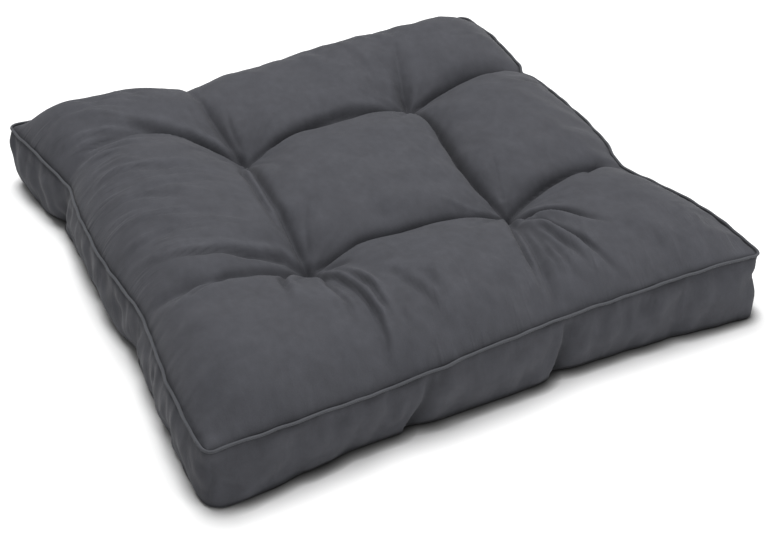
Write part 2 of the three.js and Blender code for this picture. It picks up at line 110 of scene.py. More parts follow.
# Where the valleys meet the seam
PINCHES = {
    "front_west": (-116, -300),
    "front_east": (66, -300),
    "right_south": (300, -95),
    "right_north": (300, 140),
    "back_west": (-98, 300),
    "back_east": (190, 300),
    "left_south": (-300, -107),
    "left_north": (-300, 150),
}

# Valleys between the puffs: from, to, bow to the left of the way and its lean towards the start,
# depth at the start, middle and end, and reach to the left and right
VALLEYS = [
    ("front_left", "front_right", 0, 0, 30, 34, 35, 92, 100),
    ("back_left", "back_right", 2, 0, 31, 38, 37, 92, 105),
    ("front_left", "back_left", 8, 0, 30, 22, 31, 90, 90),
    ("front_right", "back_right", 7, 2.2, 33, 39, 33, 70, 88),
    ("front_left", "left_south", 18, 0, 29, 18, 13, 80, 80),
    ("front_left", "front_west", 6, 0, 30, 8, 12, 80, 80),
    ("front_right", "front_east", -4, 0, 36, 20, 20, 80, 100),
    ("front_right", "right_south", 8, 0, 33, 31, 27, 76, 76),
    ("back_right", "right_north", -2, 0, 35, 40, 32, 78, 78),
    ("back_right", "back_east", 6, 0, 36, 8, 0, 80, 80),
    ("back_left", "back_west", 6, 0, 34, 20, 0, 80, 80),
    ("back_left", "left_north", -42, 0, 32, 20, 7, 80, 80),
]

# A valley takes the crown away, all of it at the full depth. Its cleft is the steep part near its line
VALLEY_POWER = 2.3
VALLEY_STEPS = 16
VALLEY_FULL = 46.0
CLEFT_SHARE = 0.35
CLEFT_REACH = 19.0
CLEFT_DEPTH = 40.0
FOLD_DEPTH = 10.0
FOLD_WIDTH = 4.2

# Creases of the top panel: depth, width, lip and route. The lip is how high the cloth stands beside
# the crease: on the left hand of the route, or on its right hand when the lip is negative. A ridge
# has a negative depth
CREASES = [
    (11, 4.5, -4, [(113, -119), (120, -138), (131, -150), (148, -175), (160, -193), (178, -215)]),
    (7, 3.5, -2.5, [(113, -121), (119, -160), (125, -199), (135, -230), (143, -257), (153, -284)]),
    (6, 3, 2, [(108, -126), (92, -160), (80, -190), (70, -230), (62, -262), (52, -284)]),
    (3, 3, 1.2, [(104, -160), (101, -193), (96, -221), (92, -240), (90, -262)]),
    (3, 3, 1.2, [(106, -180), (104, -210), (103, -242), (104, -266)]),
    (4, 3, 1.5, [(113, -150), (111, -185), (114, -215), (120, -245), (124, -270)]),
    (-5, 4.5, 0, [(123, -130), (132, -140), (141, -153), (152, -168)]),
    (-5, 4, 0, [(117, -128), (124, -147), (132, -161), (141, -175), (154, -192)]),
    (-3, 4, 0, [(109, -159), (114, -181), (120, -196), (126, -216), (131, -234)]),
    (5.5, 2.4, 2.2, [(-110, -115), (-105, -156), (-103, -201), (-102, -237), (-106, -263), (-112, -286)]),
    (3.5, 2.6, 1.8, [(-99, -140), (-95, -177), (-91, -206), (-92, -236), (-93, -264)]),
    (4, 3.5, -1.6, [(-110, -135), (-122, -178), (-121, -215), (-124, -246)]),
    (-4, 4, 0, [(-93, -165), (-88, -193), (-84, -214)]),
    (6.5, 4.5, -3, [(-116, -108), (-135, -97), (-173, -98), (-217, -87), (-248, -74), (-272, -56)]),
    (6, 3.5, 2, [(-118, -112), (-146, -128), (-160, -150), (-165, -176), (-176, -204)]),
    (3, 4, 1.5, [(-120, -110), (-159, -119), (-205, -124), (-246, -138), (-280, -118)]),
    (8, 5, -3, [(-92, 122), (-105, 133), (-122, 144), (-153, 161), (-175, 179), (-196, 191)]),
    (8, 5, -2.5, [(-52, 114), (-30, 119), (-5, 125), (30, 131), (60, 130), (88, 126), (118, 122)]),
    (5, 4, 2, [(-100, 95), (-117, 50), (-119, 10), (-123, -38), (-120, -86)]),
    (4, 3.5, -1.5, [(-95, 90), (-104, 26), (-108, -15), (-111, -62), (-113, -92)]),
    (2.5, 4, 1, [(124, 130), (125, 147), (128, 162), (136, 182)]),
    (2, 4, -1, [(127, 132), (136, 146), (144, 166)]),
    (6, 5, -2, [(286, 92), (268, 82), (240, 70)]),
    (6, 4, 2, [(280, -92), (265, -88), (245, -92), (221, -109), (205, -118)]),
    (4, 5, 1.6, [(-64, -196), (-54, -228), (-47, -256), (-46, -278)]),
    (3, 5, 1.4, [(-40, -214), (-36, -244), (-38, -272)]),
    (-4.8, 3.4, 0, [(-276, -50), (-249, -72), (-213, -85), (-165, -94)]),
    (-4.5, 3.2, 0, [(-266, 198), (-239, 192), (-217, 189), (-185, 182)]),
    (-3.6, 3.2, 0, [(-270, 184), (-249, 182), (-216, 178)]),
    (-4.2, 3.2, 0, [(-262, 176), (-238, 160), (-204, 146), (-176, 142)]),
    (-3.8, 3.2, 0, [(-266, 160), (-244, 146), (-214, 132)]),
    (-4.2, 3.4, 0, [(-262, 96), (-230, 90), (-208, 86), (-156, 70)]),
    (-3.8, 3.2, 0, [(-276, 24), (-260, 14), (-232, 2)]),
    (-3.4, 3.2, 0, [(-280, -20), (-262, -30), (-234, -38)]),
    (-3.5, 3.2, 0, [(-264, -142), (-228, -128), (-188, -129), (-156, -140)]),
]

# How a crease opens and closes along its way, and how far aside and how wide its lip is, in widths
CREASE_START = 0.4
CREASE_RATE = 2.4
LIP_ASIDE = 2.2
LIP_WIDTH = 1.3

# Strokes are small wrinkles and ridges, strewn in groups: how many, the strips they start in, their
# way in degrees and its spread, and the span of their lengths, widths and heights
TOP_STROKES = [
    (60, (-292, -215), (-95, 275), -18, 13, (32, 110), (2.2, 4.0), (-2.4, 2.8)),
    (64, (-110, 285), (-294, -230), 80, 28, (18, 60), (2.6, 5.5), (-2.2, 2.2)),
    (20, (-285, -110), (-294, -250), 80, 28, (14, 40), (2.6, 5.5), (-1.3, 1.3)),
    (26, (250, 292), (-270, 270), 190, 22, (20, 60), (3.0, 6.0), (-1.6, 1.6)),
    (22, (-270, 270), (258, 290), 265, 28, (18, 50), (3.0, 6.0), (-1.4, 1.4)),
    (150, (-270, 270), (-270, 270), 0, 180, (14, 44), (2.8, 6.0), (-1.0, 1.0)),
]
BOXING_STROKES = [
    (190, (0, 2400), (-70, -20), 90, 18, (18, 52), (3.0, 7.0), (-1.1, 1.1)),
    (90, (0, 2400), (-14, -2), 268, 24, (8, 24), (2.5, 5.0), (-1.1, 1.1)),
]

# Strokes run out from each tuft too: how many, how unevenly they are spaced, how far out they start,
# how much their ways sway, and the span of their lengths, widths and heights
TUFT_STROKES = (22, 0.4, (5, 16), 0.35, (20, 85), (2.2, 4.0), (-2.4, 1.8))
STROKE_BEND = 0.06

# Lumps of the filling, as waves: how many, their lengths and their height
LUMPS = (16, (34, 120), 0.7)

# Puckers along the top seam: how deep, how far they reach into the panel, and their lengths
PUCKER_DEPTH = 0.5
PUCKER_REACH = 9.0
PUCKER_LENGTHS = (9, 23)

# Waves that are added up for an uneven one, and what their sum is divided by
RIPPLE_WAVES = 7
RIPPLE_SUM = 3

# Painted shade: how much darker the cloth's colour is made in its folds and clefts, above and below the
# piping, at the foot, round the tufts and for each millimetre of a crease's depth (a ridge is made
# lighter, a painted highlight, within the limits), and how far the darkness reaches
FOLD_SHADE = 0.6
CLEFT_SHADE = 0.10
RIM_SHADE = 0.4
SEAM_SHADE = 0.65
FOOT_SHADE = 0.6
TUFT_SHADE = 0.10
CREASE_SHADE = 0.045
CREASE_SHADE_LIMITS = (0.5, 1.15)
SEAM_SHADE_REACH = 2.0
TUFT_SHADE_REACH = 7.0

# Boxing: it bulges between its seams, but near its corners only at the back left, and folds inward.
# A fold has its place at the top seam, its drift towards the foot, its depth and its width to each side
BOXING_BULGE = 5.0
BOXING_BULGE_POWER = 0.7
BOXING_DROP = 70.0
BOXING_CORNER = 70.0
BACK_LEFT_BULGE = 1.3
BOXING_FOLDS = {
    "front": [(-80, -18, 7, 3.5, 11), (76, -9, 8, 3.5, 10), (-216, 8, 1.6, 8, 5), (210, -6, 1.6, 5, 8)],
    "right": [(-97, 0, 6, 10, 14), (138, 0, 6, 12, 9)],
    "back": [(-98, 5, 6, 9, 13), (192, 0, 5, 14, 8)],
    "left": [(-105, 36, 5, 8, 16), (152, 34, 8, 6, 12), (30, 14, 1.8, 5, 9), (-210, 12, 1.6, 5, 9)],
}
BOXING_FOLD_SPREAD = 8.0
# The depth at which a boxing fold's painted shade is at its darkest
BOXING_FOLD_FULL = 7.0
BOXING_LUMPS = (14, (26, 90), 0.75)

# How the boxing's folds and small folds set in below the piping, and how the small ones end
BOXING_FOLD_START = 0.4
BOXING_FOLD_ONSET = 6.0
BOXING_DETAIL_ONSET = 5.0
BOXING_DETAIL_END = 3.0
BOXING_DETAIL_FOOT = 0.35

# Underside: how far inside the foot its grid starts, how much rounder its corners are, and its
# dimples, with a flat spot under each thread
UNDER_MARGIN = 14.0
UNDER_ROUNDING = 12.0
UNDER_RADIUS = 46.0
UNDER_DEPTH = 15.0
UNDER_SPOT = 5.0
UNDER_POWER = 1.6
UNDER_STROKE_SHARE = 0.4
UNDER_STROKE_FULL = 2.0

# How far the cloth of one panel lies from that of the next, so that no pattern runs over a seam
CLOTH_APART = 1000.0

# Mesh fineness, the strips of each axis where the grid is finer (from, to, how much finer), and the
# patch in which a tuft's height is looked up, in shares of the side
TOP_STEPS = 240
BOXING_LEVELS = 18
BOXING_LEVEL_POWER = 1.1
FOOT_ROLL_RINGS = 6
PIPING_SIDES = 12
GRID_SAMPLES = 1201
FINE_STRIPS = {
    "x": [(-145, -80, 1.0), (65, 180, 1.0)],
    "y": [(-290, -105, 0.9), (105, 150, 0.5)],
}
FINE_EDGE = 8.0
RIM_FINE = 0.9
RIM_FINE_REACH = 12.0
PATCH_REACH = 0.03
PATCH_STEPS = 61

# Cloth solver: its own mesh, how hard it is blown up, how much larger than the body the cloth is
# (a shrink below nothing), how firmly valleys and tufts are held, and what is kept of its wrinkles
CLOTH_STEPS = 90
CLOTH_LEVELS = 9
CLOTH_FRAMES = 20
CLOTH_PRESSURE = 4.0
CLOTH_SHRINK = -0.05
CLOTH_VALLEY_HOLD = 0.6
CLOTH_TUFT_HOLD = 2.0
CLOTH_BLUR = 14
CLOTH_GAIN = 1.1
CLOTH_LIMIT = 3.0

# Piping: its radius, how far its seam wanders, over what lengths, and how uneven its thickness is
PIPING_RADIUS = 1.5
PIPING_SWAY = 0.55
PIPING_LENGTHS = (26, 90)
PIPING_UNEVEN = 0.05

# Tuft threads: two strands twisted round each other, their ends sunk in the cloth
THREAD_LENGTH = 8.0
STRAND_RADIUS = 0.5
STRAND_OFFSET = 0.44
THREAD_SAG = 1.2
THREAD_TWISTS = 3
THREAD_STEPS = 33
THREAD_SIDES = 8

# How the covers tuck in round the piping: steps inward from the seam line and up from it
RIM_INWARD = 2.0
RIM_DIVE = 2.0
RIM_DIVE_REACH = 3.0
GROOVE = [(1.25, -0.75), (0.4, -1.25)]
BOXING_TOP = (0.25, -2.0)

# Cloth textures: the scale and detail of each, and the spans over which gathers and patches set in
DRIFT = (14, 3)
MOTTLE = (34, 5)
NAP = (95, 4)
FIBRE = (900, 3)
GATHER_DETAIL = 2
GATHER_PATCHES = (28, 2)
GATHER_SPAN = (0.52, 0.76)
PATCH_SPAN = (0.42, 0.62)
# How much lighter the colour is made along the gathers, a painted highlight on their fine creases
GATHER_LIGHT = 0.13

# Cloth surface: roughness and its swing, gloss, and bumps with a depth in metres and a strength
ROUGHNESS = 0.88
ROUGHNESS_SWING = 0.12
SPECULAR_LEVEL = 0.2
SHEEN_ROUGHNESS = 0.4
NAP_DEPTH = 0.0012
GATHER_BUMP = (0.0018, 0.8)
FIBRE_BUMP = (0.0002, 0.35)
BAND_STRENGTH = 0.6

# The photograph's view: the camera's place from the square's middle, in shares of the side
CAMERA_TARGET = (-0.0029, -0.0954, 0.0)
CAMERA_AZIMUTH = math.radians(-27.32)
CAMERA_ELEVATION = math.radians(36.87)
CAMERA_DISTANCE = 2.589
CAMERA_LENS = 66.92
CAMERA_CLIP = 0.01

# The pale floor, in metres. It darkens close to the cushion, where the light is shut out, by a power
# that rises over a span from the left, where the photograph's floor is lighter
FLOOR_REACH = 12
FLOOR_DROP = 0.0002
FLOOR_COLOUR = (0.9, 0.9, 0.9)
GLOOM_REACH = 0.014
GLOOM_SAMPLES = 16
GLOOM_SPAN = (-0.305, -0.24)
GLOOM_POWERS = (0.5, 2.3)

# Soft studio light: each lamp's place and width in metres and its power in watts
LIGHTS = {
    "top_light": ((0.0, 0.50, 2.5), 1.8, 86),
    "front_fill": ((1.4, -2.2, 0.8), 1.2, 27),
}
WORLD_STRENGTH = 0.37


# The surface, worked out in millimetres


def sample(side, at, name):
    """A smooth curve through one column of a side's table."""
    rows = np.array(OUTLINE[side], float)
    xs, ys = rows[:, 0], rows[:, OUTLINE_COLUMNS.index(name)]
    i = np.clip(np.searchsorted(xs, at, side="right") - 1, 0, len(xs) - 2)
    span = xs[i + 1] - xs[i]
    f = np.clip((at - xs[i]) / span, 0, 1)
    before = np.maximum(np.arange(len(xs)) - 1, 0)
    after = np.minimum(np.arange(len(xs)) + 1, len(xs) - 1)
    slope = (ys[after] - ys[before]) / (xs[after] - xs[before])
    f2, f3 = f * f, f * f * f
    return (
        (2 * f3 - 3 * f2 + 1) * ys[i]
        + (f3 - 2 * f2 + f) * slope[i] * span
        + (3 * f2 - 2 * f3) * ys[i + 1]
        + (f3 - f2) * slope[i + 1] * span
    )


def at_sides(s, t, name):
    """One column of the outline where the lines through (s, t) meet the four sides."""
    shares = {"front": s, "right": t, "back": s, "left": t}
    return [sample(side, (share - 0.5) * SIDE, name) for side, share in shares.items()]


def foot_radius(s, t, extra=0.0):
    return np.array(FOOT_CORNER_RADII)[(t >= 0.5).astype(int), (s >= 0.5).astype(int)] + extra


def round_corners(s, t, radius):
    """Pulls the corners of the square (s, t) in to a radius, keeping the rest as it is."""
    p, q = [np.minimum(share, 1 - share) * SIDE for share in (s, t)]
    near = (p < radius) & (q < radius)
    u, v = [np.where(near, 1 - edge / radius, 0) for edge in (p, q)]

    def pulled(share, own, other):
        inward = radius * (1 - own * np.sqrt(1 - other * other / 2)) / SIDE
        return np.where(near, np.where(share > 0.5, 1 - inward, inward), share)

    return pulled(s, u, v), pulled(t, v, u)


def plan(s, t, name):
    """A place over the square (s, t), bounded by the seam whose inset is called name."""
    front, right, back, left = at_sides(s, t, name)
    west, east = left - HALF, HALF - right
    south, north = front - HALF, HALF - back
    return west + (east - west) * s, south + (north - south) * t


def seam_height(s, t):
    """The height of the top seam, carried smoothly across the inside."""
    front, right, back, left = at_sides(s, t, "seam")
    seam = OUTLINE_COLUMNS.index("seam")
    height = front * (1 - t) + back * t + left * (1 - s) + right * s
    for side, up in (("front", 1 - t), ("back", t)):
        for end, over in ((0, 1 - s), (-1, s)):
            height = height - OUTLINE[side][end][seam] * over * up
    return height


def crown_height(s, t):
    crowns = np.array(PUFF_CROWNS, float)

    def place(share):
        row = np.clip((share - PUFF_ROW_SHARE) / (1 - 2 * PUFF_ROW_SHARE), 0, 1) * 2
        i = np.clip(np.floor(row).astype(int), 0, 1)
        f = row - i
        return i, f * f * (3 - 2 * f)

    i, fi = place(s)
    j, fj = place(t)
    front = crowns[j, i] * (1 - fi) + crowns[j, i + 1] * fi
    back = crowns[j + 1, i] * (1 - fi) + crowns[j + 1, i + 1] * fi
    return front * (1 - fj) + back * fj


def nearest(route, x, y):
    """How far away the nearest place on a route is, on which hand, and its share of the way."""
    away = np.full(x.shape, np.inf)
    left = np.zeros(x.shape, bool)
    share = np.zeros(x.shape)
    for k in range(len(route) - 1):
        ax, ay = route[k]
        dx, dy = route[k + 1][0] - ax, route[k + 1][1] - ay
        f = np.clip(((x - ax) * dx + (y - ay) * dy) / (dx * dx + dy * dy), 0, 1)
        d = np.hypot(x - ax - f * dx, y - ay - f * dy)
        closer = d < away
        away = np.where(closer, d, away)
        left = np.where(closer, dx * (y - ay) - dy * (x - ax) > 0, left)
        share = np.where(closer, (k + f) / (len(route) - 1), share)
    return away, left, share


def valley_route(start, end, bow, lean):
    (ax, ay), (bx, by) = [(TUFTS.get(name) or PINCHES.get(name))[:2] for name in (start, end)]
    length = math.hypot(bx - ax, by - ay)
    f = np.linspace(0, 1, VALLEY_STEPS)
    out = 4 * f * (1 - f) * (1 + lean * (1 - 2 * f)) * bow / length
    return np.stack([ax + (bx - ax) * f - (by - ay) * out, ay + (by - ay) * f + (bx - ax) * out], 1)


def puff_share(x, y):
    """What is left of the crown where valleys pass, the fold at their bottom and their gloom, the mask of
    the painted shade in their clefts.
    """
    left_over = np.ones(x.shape)
    fold = np.zeros(x.shape)
    dark = np.zeros(x.shape)
    for start, end, bow, lean, first, middle, last, left_reach, right_reach in VALLEYS:
        away, left, share = nearest(valley_route(start, end, bow, lean), x, y)
        depth = (
            first * (1 - share) * (1 - 2 * share)
            + middle * 4 * share * (1 - share)
            + last * share * (2 * share - 1)
        )
        reach = np.where(left, left_reach, right_reach)
        wide = np.clip(1 - away / reach, 0, 1) ** VALLEY_POWER
        narrow = np.clip(1 - away / CLEFT_REACH, 0, 1) ** 2
        cleft = CLEFT_SHARE * np.clip(depth / CLEFT_DEPTH, 0, 1)
        taken = depth / VALLEY_FULL * ((1 - CLEFT_SHARE) * wide + cleft * narrow)
        left_over *= 1 - np.clip(taken, 0, 1)
        strength = np.clip(depth / VALLEY_FULL, 0, 1) ** 2
        fold = np.maximum(fold, strength * np.exp(-((away / FOLD_WIDTH) ** 2)))
        dark = np.maximum(dark, strength * narrow)
    return left_over, fold, dark


def dimple_depth(x, y):
    near = [np.clip(1 - np.hypot(x - tx, y - ty) / DIMPLE_REACH, 0, 1) for tx, ty, _ in TUFTS.values()]
    return sum(DIMPLE_DEPTH * share**2 for share in near)


def crease_depth(x, y):
    """Creases open over their first quarter and fade to nothing at their far end."""
    total = np.zeros(x.shape)
    for depth, width, lip, route in CREASES:
        away, left, share = nearest(route, x, y)
        opening = np.minimum(1, CREASE_START + CREASE_RATE * share)
        fade = opening * np.minimum(1, CREASE_RATE * (1 - share))
        beside = np.where(left, away, -away) * math.copysign(1, lip) - LIP_ASIDE * width
        total += fade * depth * np.exp(-((away / width) ** 2))
        total -= fade * abs(lip) * np.exp(-((beside / (LIP_WIDTH * width)) ** 2))
    return total


def draws(name):
    return np.random.default_rng(SEEDS[name])


def strew(groups, name):
    """Rows of small wrinkles: start, way, length, width and height."""
    rng = draws(name)
    rows = []
    for count, across, up, way, spread, *spans in groups:
        for _ in range(count):
            turn = math.radians(way + spread * rng.uniform(-1, 1))
            place = (rng.uniform(*across), rng.uniform(*up))
            rows.append((*place, turn, *[rng.uniform(*span) for span in spans]))
    return rows


def tuft_strokes(name):
    """Wrinkles that run out from each tuft."""
    rng = draws(name)
    count, shift, starts, sway, *spans = TUFT_STROKES
    rows = []
    for tx, ty, _ in TUFTS.values():
        for k in range(count):
            turn = 2 * math.pi * (k + rng.uniform(-shift, shift)) / count
            start = rng.uniform(*starts)
            way = turn + sway * rng.uniform(-1, 1)
            place = (tx + start * math.cos(turn), ty + start * math.sin(turn))
            rows.append((*place, way, *[rng.uniform(*span) for span in spans]))
    return rows


def stroke_height(rows, u, v):
    """The height that a table of strokes adds at places (u, v); each tapers to both its ends."""
    total = np.zeros(u.shape)
    for start_u, start_v, turn, length, width, height in rows:
        du, dv = u - start_u, v - start_v
        share = (du * math.cos(turn) + dv * math.sin(turn)) / length
        aside = dv * math.cos(turn) - du * math.sin(turn)
        bend = STROKE_BEND * length * np.sin(math.pi * share)
        on = (share > 0) & (share < 1)
        taper = np.sqrt(np.sin(math.pi * np.clip(share, 0, 1)))
        total += np.where(on, height * taper * np.exp(-(((aside - bend) / width) ** 2)), 0)
    return total


def lump_height(u, v, lumps, name):
    """Soft lumps: waves in all ways whose heights add up to about the one that is asked for."""
    count, lengths, height = lumps
    rng = draws(name)
    total = np.zeros(u.shape)
    for _ in range(count):
        turn, phase = rng.uniform(0, 2 * math.pi, 2)
        wave = 2 * math.pi / rng.uniform(*lengths)
        total += np.sin(wave * (u * math.cos(turn) + v * math.sin(turn)) + phase)
    return height * math.sqrt(2 / count) * total


def ripple(along, lengths, name):
    """An uneven wave along the seam, mostly between -1 and 1, of waves whose lengths span a range."""
    rng = draws(name)
    round_trip = 4 * SIDE
    total = np.zeros(along.shape)
    for length in np.linspace(*lengths, RIPPLE_WAVES):
        turns = round(round_trip / length)
        total += np.sin(2 * math.pi * turns * along / round_trip + rng.uniform(0, 2 * math.pi))
    return total / RIPPLE_SUM


def way_round(s, t):
    """How far round the square its nearest edge place lies, from the front left corner."""
    edges = np.stack([t, 1 - s, 1 - t, s])
    places = np.stack([s, 1 + t, 3 - s, 4 - t])
    return np.take_along_axis(places, edges.argmin(axis=0)[None], 0)[0] * SIDE


def rise(share, low_side, high_side):
    """How far the panel has risen at a share of the way between two opposite sides."""
    low = np.clip(share * SIDE / RISE_REACH[low_side], 0, 1)
    high = np.clip((1 - share) * SIDE / RISE_REACH[high_side], 0, 1)
    return (1 - (1 - low) ** RISE_POWER) * (1 - (1 - high) ** RISE_POWER)


def top_surface(s, t, detailed=True):
    """The top panel over the square (s, t), which ends a little inside the seam line, and its painted
    shading.
    """
    margin = RIM_INWARD / SIDE
    rs, rt = round_corners(margin + (1 - 2 * margin) * s, margin + (1 - 2 * margin) * t, CORNER_RADIUS)
    x, y = plan(rs, rt, "inset")
    risen = rise(rs, "left", "right") * rise(rt, "front", "back")
    share, fold, dark = puff_share(x, y)
    crease = crease_depth(x, y) * detailed
    small = 0 * x
    if detailed:
        strokes = strew(TOP_STROKES, "top_strokes") + tuft_strokes("tuft_strokes")
        small = stroke_height(strokes, x, y) + lump_height(x, y, LUMPS, "top_lumps")
    crown = crown_height(rs, rt) * share - FOLD_DEPTH * fold - dimple_depth(x, y) - crease + small
    rim = np.minimum.reduce([rs, 1 - rs, rt, 1 - rt]) * SIDE - RIM_INWARD
    pucker = PUCKER_DEPTH * ripple(way_round(rs, rt), PUCKER_LENGTHS, "top_puckers")
    gather = pucker * np.exp(-rim / PUCKER_REACH)
    z = seam_height(rs, rt) + risen * crown + gather - RIM_DIVE * np.exp(-rim / RIM_DIVE_REACH)
    # Painted shading: darker in the folds, clefts, along the rim, round the tufts and in creases, lighter
    # on ridges
    painted_shading = (
        (1 - FOLD_SHADE * fold)
        * (1 - CLEFT_SHADE * dark)
        * (1 - RIM_SHADE * np.exp(-rim / SEAM_SHADE_REACH))
        * (1 - TUFT_SHADE * tuft_nearness(x, y))
        * np.clip(1 - CREASE_SHADE * risen * crease, *CREASE_SHADE_LIMITS)
    )
    return x, y, z, painted_shading


def tuft_nearness(x, y):
    """A share that is 1 at each tuft and falls off round it."""
    squares = [(x - tx) ** 2 + (y - ty) ** 2 for tx, ty, _ in TUFTS.values()]
    return sum(np.exp(-square / TUFT_SHADE_REACH**2) for square in squares)


def grid_lines(axis, steps):
    """Places along an axis of the square, as shares, closer together where the cloth is creased."""
    at = np.linspace(-HALF, HALF, GRID_SAMPLES)
    weight = 1 + RIM_FINE * np.exp((np.abs(at) - HALF) / RIM_FINE_REACH)
    for low, high, extra in FINE_STRIPS[axis]:
        weight += extra / (1 + np.exp((low - at) / FINE_EDGE)) / (1 + np.exp((at - high) / FINE_EDGE))
    total = np.concatenate([[0], np.cumsum((weight[1:] + weight[:-1]) / 2)])
    return np.interp(np.arange(steps + 1) / steps * total[-1], total, at) / SIDE + 0.5


def perimeter(steps):
    """The grid's rim as rows i and j, anticlockwise from the front left corner."""
    k = np.arange(steps)
    i = np.concatenate([k, np.full(steps, steps), steps - k, np.zeros(steps, int)])
    return i, np.roll(i, steps)


def outward_of(ring):
    """The level way out of a ring at each of its points."""
    step = np.roll(ring, -1, axis=0) - np.roll(ring, 1, axis=0)
    out = np.stack([step[:, 1], -step[:, 0], np.zeros(len(ring))], 1)
    return out / np.linalg.norm(out, axis=1, keepdims=True)


def rim_shares(steps):
    i, j = perimeter(steps)
    return grid_lines("x", steps)[i], grid_lines("y", steps)[j]


def seam_ring(steps):
    """The line of the top seam; it wanders a little, as a sewn-in cord does."""
    s, t = round_corners(*rim_shares(steps), CORNER_RADIUS)
    ring = np.stack([*plan(s, t, "inset"), seam_height(s, t)], 1)
    way = way_round(s, t)
    sideways = outward_of(ring) * ripple(way, PIPING_LENGTHS, "piping_sideways")[:, None]
    upright = np.stack([0 * s, 0 * s, ripple(way, PIPING_LENGTHS, "piping_upright")], 1)
    return ring + PIPING_SWAY * (sideways + upright)


def foot_ring(steps):
    s, t = rim_shares(steps)
    x, y = plan(*round_corners(s, t, foot_radius(s, t)), "foot")
    return np.stack([x, y, np.full(x.shape, FOOT_HEIGHT)], 1)


def boxing_fold(ring, outward, level):
    """How far the boxing folds inward, wider and deeper towards its foot."""
    across = np.abs(outward[:, 0]) > np.abs(outward[:, 1])
    at = np.where(across, ring[:, 1], ring[:, 0])
    along_x = np.where(outward[:, 0] > 0, "right", "left")
    along_y = np.where(outward[:, 1] > 0, "back", "front")
    here = np.where(across, along_x, along_y)
    depth = np.zeros(len(ring))
    for side, folds in BOXING_FOLDS.items():
        for place, drift, deep, low_width, high_width in folds:
            off = at - place - drift * level**2
            wider = max(low_width, high_width) + BOXING_FOLD_SPREAD * level
            low = wider if low_width > high_width else low_width
            high = wider if high_width >= low_width else high_width
            depth += (here == side) * deep * np.exp(-((off / np.where(off < 0, low, high)) ** 2))
    return (BOXING_FOLD_START + (1 - BOXING_FOLD_START) * level) * depth


def boxing_detail(along, level):
    """Small folds and lumps of the boxing, which fade out at the piping and weaken at the foot."""
    drop = np.full(along.shape, -level * BOXING_DROP)
    small = stroke_height(strew(BOXING_STROKES, "boxing_strokes"), along, drop)
    small += lump_height(along, drop, BOXING_LUMPS, "boxing_lumps")
    at_foot = BOXING_DETAIL_FOOT + BOXING_DETAIL_END * (1 - level)
    return small * min(1, BOXING_DETAIL_ONSET * level, at_foot)


def boxing_bulge(ring, level):
    from_corner = HALF - np.minimum(np.abs(ring[:, 0]), np.abs(ring[:, 1]))
    share = np.clip(from_corner / BOXING_CORNER, 0, 1)
    back_left = (ring[:, 0] < 0) & (ring[:, 1] > 0)
    share = np.where(back_left, share + (1 - share) * BACK_LEFT_BULGE, share)
    return BOXING_BULGE * share * math.sin(math.pi * level) ** BOXING_BULGE_POWER


# Meshes


def centre_shift():
    """Where the square's middle lies in the frame, in millimetres, from the box of its piping."""
    low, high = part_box("piping")
    ring = seam_ring(TOP_STEPS)
    own = (ring.min(axis=0) + ring.max(axis=0)) / 2
    return Vector(((low[0] + high[0]) / 2 / MM - own[0], (low[1] + high[1]) / 2 / MM - own[1], 0))


SHIFT = centre_shift()


def linked(name, data):
    """A new object in the scene that shows some data."""
    made = bpy.data.objects.new(name, data)
    bpy.context.scene.collection.objects.link(made)
    return made


def to_object(name, points, faces, cloth, painted_shading):
    """A smooth mesh object from points in millimetres, with a cloth place and a painted shade per point.
    """
    mesh = bpy.data.meshes.new(name)
    mesh.from_pydata(((points + np.array(SHIFT)) * MM).tolist(), [], [tuple(face) for face in faces])
    mesh.shade_smooth()
    mesh.attributes.new("cloth", "FLOAT_VECTOR", "POINT").data.foreach_set("vector", (cloth * MM).ravel())
    # Painted shading: a factor per point that darkens the cloth's colour where shade falls
    mesh.attributes.new("painted_shading", "FLOAT", "POINT").data.foreach_set("value", painted_shading)
    mesh.update()
    return linked(name, mesh)


def grid_faces(index):
    a, b, c, d = index[:-1, :-1], index[:-1, 1:], index[1:, 1:], index[1:, :-1]
    return np.stack([a, b, c, d], -1).reshape(-1, 4).tolist()


def ring_faces(upper, lower):
    return np.stack([upper, lower, np.roll(lower, -1), np.roll(upper, -1)], 1).tolist()


def halving_faces(outer, inner):
    """Joins a ring to one inside it that has half as many points."""
    a, b, c = outer[::2], outer[1::2], np.roll(outer, -2)[::2]
    d, e = inner, np.roll(inner, -1)
    return np.stack([a, d, b, b, d, e, b, e, c], 1).reshape(-1, 3).tolist()


class Body:
    """Collects points, cloth places, painted shading and faces of one closed surface."""

    def __init__(self):
        self.parts, self.faces, self.count = [], [], 0

    def add(self, points, cloth, painted_shading):
        first = self.count
        self.parts.append((points, cloth, painted_shading))
        self.count += len(points)
        return np.arange(first, self.count)

    def made(self, name):
        points, cloth, painted_shading = map(np.concatenate, zip(*self.parts))
        return to_object(name, points, self.faces, cloth, painted_shading)


def seam_lengths(ring):
    """How far along a ring each of its points lies."""
    step = np.linalg.norm(np.roll(ring, -1, axis=0) - ring, axis=1)
    return np.concatenate([[0], np.cumsum(step)[:-1]])


def add_grid(body, points, cloth, painted_shading):
    """Adds a grid of points, each part given as its x, y and z; gives their numbers and its rim's."""
    rows = [np.stack(part, -1).reshape(-1, 3) for part in (points, cloth)]
    index = body.add(*rows, painted_shading.ravel()).reshape(painted_shading.shape)
    i, j = perimeter(len(index) - 1)
    return index, index[j, i]


def add_top(body, steps, detailed=True, lift=0.0):
    s, t = np.meshgrid(grid_lines("x", steps), grid_lines("y", steps))
    x, y, z, painted_shading = top_surface(s, t, detailed)
    index, rim = add_grid(body, (x, y, z + lift), (x, y, 0 * z), painted_shading)
    body.faces += grid_faces(index)
    return rim


def boxing_levels(count):
    """Shares of the way down the boxing, a little closer together towards the piping."""
    return (np.arange(count) / count) ** BOXING_LEVEL_POWER


